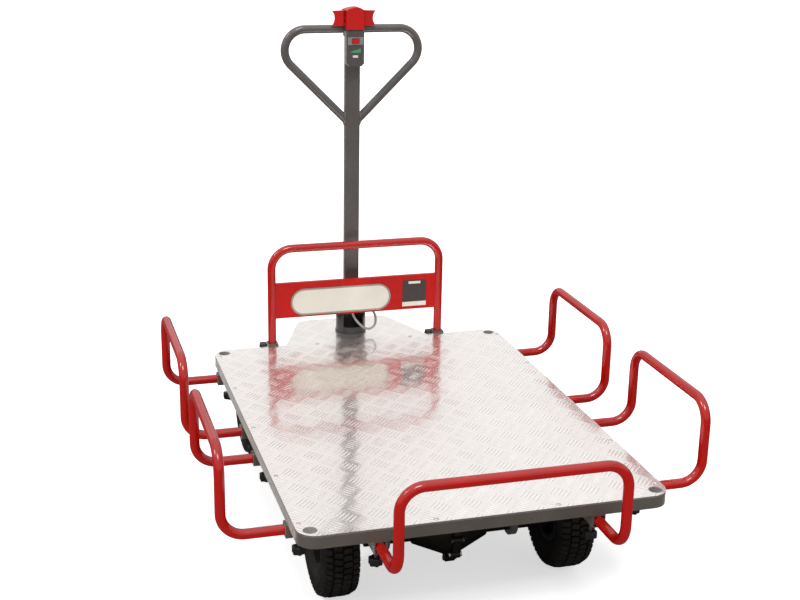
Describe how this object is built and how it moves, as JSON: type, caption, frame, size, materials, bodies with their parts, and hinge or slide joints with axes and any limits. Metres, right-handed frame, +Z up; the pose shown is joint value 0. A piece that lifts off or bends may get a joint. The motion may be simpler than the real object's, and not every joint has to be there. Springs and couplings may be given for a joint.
{
  "type": "electric platform trolley",
  "caption": "Battery-electric platform trolley: tread-plate deck with removable bent-tube rails and headboard, pneumatic wheels and a tilting loop-handle tiller that steers the front axle.",
  "frame": {"origin": "on the floor, under the middle of the trolley's bounding box", "axes": "+X to the right seen from the rear end, +Y along the deck towards the tiller, +Z up"},
  "size_m": [1.092, 1.428, 1.186],
  "materials": {
    "tread_plate": "bright rolled tread plate",
    "frame_paint": "satin taupe grey paint",
    "rail_red": "gloss red powder coat",
    "knob_black": "matt moulded",
    "tyre": "matt rubber",
    "rim_paint": "satin dark paint",
    "bright_steel": "machined",
    "black_casting": "black paint on casting",
    "motor_black": "satin black paint",
    "tiller_grey": "satin grey paint",
    "control_grey": "fine textured moulding",
    "red_plastic": "gloss moulded",
    "battery_case": "matt moulded",
    "cable_grey": "smooth sheath",
    "controller_alloy": "anodised"
  },
  "bodies": {
    "chassis": {"deck_plate": "tread_plate", "frame_tubes": "frame_paint", "frame_corners": "frame_paint", "nose_frame": "frame_paint", "rail_sockets": "frame_paint", "bearing_housing": "frame_paint", "column_bearings": "bright_steel", "front_axle": "frame_paint", "kingpins": "bright_steel", "transaxle_case": "black_casting", "drive_motor": "motor_black", "axle_hangers": "frame_paint", "battery_tray": "frame_paint", "batteries": "battery_case", "controller": "controller_alloy"},
    "column": {"steering_column": "frame_paint", "pivot_pin": "bright_steel", "pitman_arm": "frame_paint", "control_cable": "cable_grey"},
    "tiller": {"tiller_post": "tiller_grey", "handle_loop": "tiller_grey", "control_housing": "control_grey"},
    "throttle_lever": {"throttle": "red_plastic"},
    "safety_cap": {"safety_button": "red_plastic"},
    "panel_key": {"panel_button": "red_plastic"},
    "headboard": {"headboard_hoop": "rail_red", "headboard_panel": "rail_red"},
    "end_hoop": {"end_rail": "rail_red"},
    "left_rear_hoop": {"left_rear_rail": "rail_red"},
    "left_front_hoop": {"left_front_rail": "rail_red"},
    "left_steering_knuckle": {"left_knuckle": "frame_paint"},
    "left_link": {"left_tie_rod": "bright_steel"},
    "rear_left_wheel": {"rear_left_tyre": "tyre", "rear_left_rim": "rim_paint", "left_half_shaft": "bright_steel"},
    "front_left_wheel": {"front_left_tyre": "tyre", "front_left_rim": "rim_paint", "front_left_bearings": "bright_steel"},
    "right_rear_hoop": {"right_rear_rail": "rail_red"},
    "right_front_hoop": {"right_front_rail": "rail_red"},
    "right_steering_knuckle": {"right_knuckle": "frame_paint"},
    "right_link": {"right_tie_rod": "bright_steel"},
    "rear_right_wheel": {"rear_right_tyre": "tyre", "rear_right_rim": "rim_paint", "right_half_shaft": "bright_steel"},
    "front_right_wheel": {"front_right_tyre": "tyre", "front_right_rim": "rim_paint", "front_right_bearings": "bright_steel"},
    "left_knob_1_body": {"left_knob_1": "knob_black"},
    "left_knob_2_body": {"left_knob_2": "knob_black"},
    "left_knob_3_body": {"left_knob_3": "knob_black"},
    "left_knob_4_body": {"left_knob_4": "knob_black"},
    "end_knob_left_body": {"end_knob_left": "knob_black"},
    "headboard_knob_left_body": {"headboard_knob_left": "knob_black"},
    "right_knob_1_body": {"right_knob_1": "knob_black"},
    "right_knob_2_body": {"right_knob_2": "knob_black"},
    "right_knob_3_body": {"right_knob_3": "knob_black"},
    "right_knob_4_body": {"right_knob_4": "knob_black"},
    "end_knob_right_body": {"end_knob_right": "knob_black"},
    "headboard_knob_right_body": {"headboard_knob_right": "knob_black"}
  },
  "joints": [
    {"name": "steer", "type": "hinge", "parent": "chassis", "child": "column", "pos_m": [0, 0.598, 0.29], "axis": [0, 0, 1], "range_deg": [-35, 35]},
    {"name": "tiller_tilt", "type": "hinge", "parent": "column", "child": "tiller", "pos_m": [0, 0.598, 0.368], "axis": [-1, 0, 0], "range_deg": [0, 75], "stiffness_Nm_per_rad": 25, "springref_deg": -17.19, "deforming": ["control_cable"]},
    {"name": "throttle_turn", "type": "hinge", "parent": "tiller", "child": "throttle_lever", "pos_m": [0, 0.583, 1.156], "axis": [1, 0, 0], "range_deg": [-25, 25], "stiffness_Nm_per_rad": 0.4},
    {"name": "safety_press", "type": "slide", "parent": "tiller", "child": "safety_cap", "axis": [0, 0, -1], "range_m": [0, 0.004], "stiffness_N_per_m": 500, "springref_m": -0.004},
    {"name": "panel_press", "type": "slide", "parent": "tiller", "child": "panel_key", "axis": [0, 1, 0], "range_m": [0, 0.0025], "stiffness_N_per_m": 300, "springref_m": -0.002},
    {"name": "headboard_lift", "type": "slide", "parent": "chassis", "child": "headboard", "axis": [0, 0, 1], "range_m": [0, 0.035]},
    {"name": "end_rail_slide", "type": "slide", "parent": "chassis", "child": "end_hoop", "axis": [0, -1, 0], "range_m": [0, 0.05]},
    {"name": "left_rear_rail_slide", "type": "slide", "parent": "chassis", "child": "left_rear_hoop", "axis": [-1, 0, 0], "range_m": [0, 0.05]},
    {"name": "left_front_rail_slide", "type": "slide", "parent": "chassis", "child": "left_front_hoop", "axis": [-1, 0, 0], "range_m": [0, 0.05]},
    {"name": "left_knuckle_turn", "type": "hinge", "parent": "chassis", "child": "left_steering_knuckle", "pos_m": [-0.205, 0.499, 0.125], "axis": [0, 0, 1], "range_deg": [-35, 35]},
    {"name": "left_tie_rod_swing", "type": "hinge", "parent": "column", "child": "left_link", "pos_m": [-0.014, 0.668, 0.162], "axis": [0, 0, 1], "range_deg": [-35, 35]},
    {"name": "rear_left_wheel_roll", "type": "hinge", "parent": "chassis", "child": "rear_left_wheel", "pos_m": [-0.27, -0.293, 0.125], "axis": [1, 0, 0], "continuous": true},
    {"name": "front_left_wheel_roll", "type": "hinge", "parent": "left_steering_knuckle", "child": "front_left_wheel", "pos_m": [-0.288, 0.499, 0.125], "axis": [1, 0, 0], "continuous": true},
    {"name": "right_rear_rail_slide", "type": "slide", "parent": "chassis", "child": "right_rear_hoop", "axis": [1, 0, 0], "range_m": [0, 0.05]},
    {"name": "right_front_rail_slide", "type": "slide", "parent": "chassis", "child": "right_front_hoop", "axis": [1, 0, 0], "range_m": [0, 0.05]},
    {"name": "right_knuckle_turn", "type": "hinge", "parent": "chassis", "child": "right_steering_knuckle", "pos_m": [0.205, 0.499, 0.125], "axis": [0, 0, 1], "range_deg": [-35, 35]},
    {"name": "right_tie_rod_swing", "type": "hinge", "parent": "column", "child": "right_link", "pos_m": [0.014, 0.668, 0.162], "axis": [0, 0, 1], "range_deg": [-35, 35]},
    {"name": "rear_right_wheel_roll", "type": "hinge", "parent": "chassis", "child": "rear_right_wheel", "pos_m": [0.27, -0.293, 0.125], "axis": [1, 0, 0], "continuous": true},
    {"name": "front_right_wheel_roll", "type": "hinge", "parent": "right_steering_knuckle", "child": "front_right_wheel", "pos_m": [0.288, 0.499, 0.125], "axis": [1, 0, 0], "continuous": true},
    {"name": "left_knob_1_turn", "type": "hinge", "parent": "chassis", "child": "left_knob_1_body", "pos_m": [-0.375, -0.456, 0.2], "axis": [0, 0, 1], "continuous": true},
    {"name": "left_knob_2_turn", "type": "hinge", "parent": "chassis", "child": "left_knob_2_body", "pos_m": [-0.375, -0.096, 0.2], "axis": [0, 0, 1], "continuous": true},
    {"name": "left_knob_3_turn", "type": "hinge", "parent": "chassis", "child": "left_knob_3_body", "pos_m": [-0.375, 0.062, 0.2], "axis": [0, 0, 1], "continuous": true},
    {"name": "left_knob_4_turn", "type": "hinge", "parent": "chassis", "child": "left_knob_4_body", "pos_m": [-0.375, 0.422, 0.2], "axis": [0, 0, 1], "continuous": true},
    {"name": "end_knob_left_turn", "type": "hinge", "parent": "chassis", "child": "end_knob_left_body", "pos_m": [-0.235, -0.541, 0.2], "axis": [0, 0, 1], "continuous": true},
    {"name": "headboard_knob_left_turn", "type": "hinge", "parent": "chassis", "child": "headboard_knob_left_body", "pos_m": [-0.255, 0.536, 0.283], "axis": [1, 0, 0], "continuous": true},
    {"name": "right_knob_1_turn", "type": "hinge", "parent": "chassis", "child": "right_knob_1_body", "pos_m": [0.375, -0.456, 0.2], "axis": [0, 0, 1], "continuous": true},
    {"name": "right_knob_2_turn", "type": "hinge", "parent": "chassis", "child": "right_knob_2_body", "pos_m": [0.375, -0.096, 0.2], "axis": [0, 0, 1], "continuous": true},
    {"name": "right_knob_3_turn", "type": "hinge", "parent": "chassis", "child": "right_knob_3_body", "pos_m": [0.375, 0.062, 0.2], "axis": [0, 0, 1], "continuous": true},
    {"name": "right_knob_4_turn", "type": "hinge", "parent": "chassis", "child": "right_knob_4_body", "pos_m": [0.375, 0.422, 0.2], "axis": [0, 0, 1], "continuous": true},
    {"name": "end_knob_right_turn", "type": "hinge", "parent": "chassis", "child": "end_knob_right_body", "pos_m": [0.235, -0.541, 0.2], "axis": [0, 0, 1], "continuous": true},
    {"name": "headboard_knob_right_turn", "type": "hinge", "parent": "chassis", "child": "headboard_knob_right_body", "pos_m": [0.215, 0.536, 0.283], "axis": [1, 0, 0], "continuous": true}
  ],
  "couplings": [
    {"joint": "left_knuckle_turn", "follows": "steer", "ratio": 1},
    {"joint": "left_tie_rod_swing", "follows": "steer", "ratio": -1},
    {"joint": "right_knuckle_turn", "follows": "steer", "ratio": 1},
    {"joint": "right_tie_rod_swing", "follows": "steer", "ratio": -1}
  ]
}
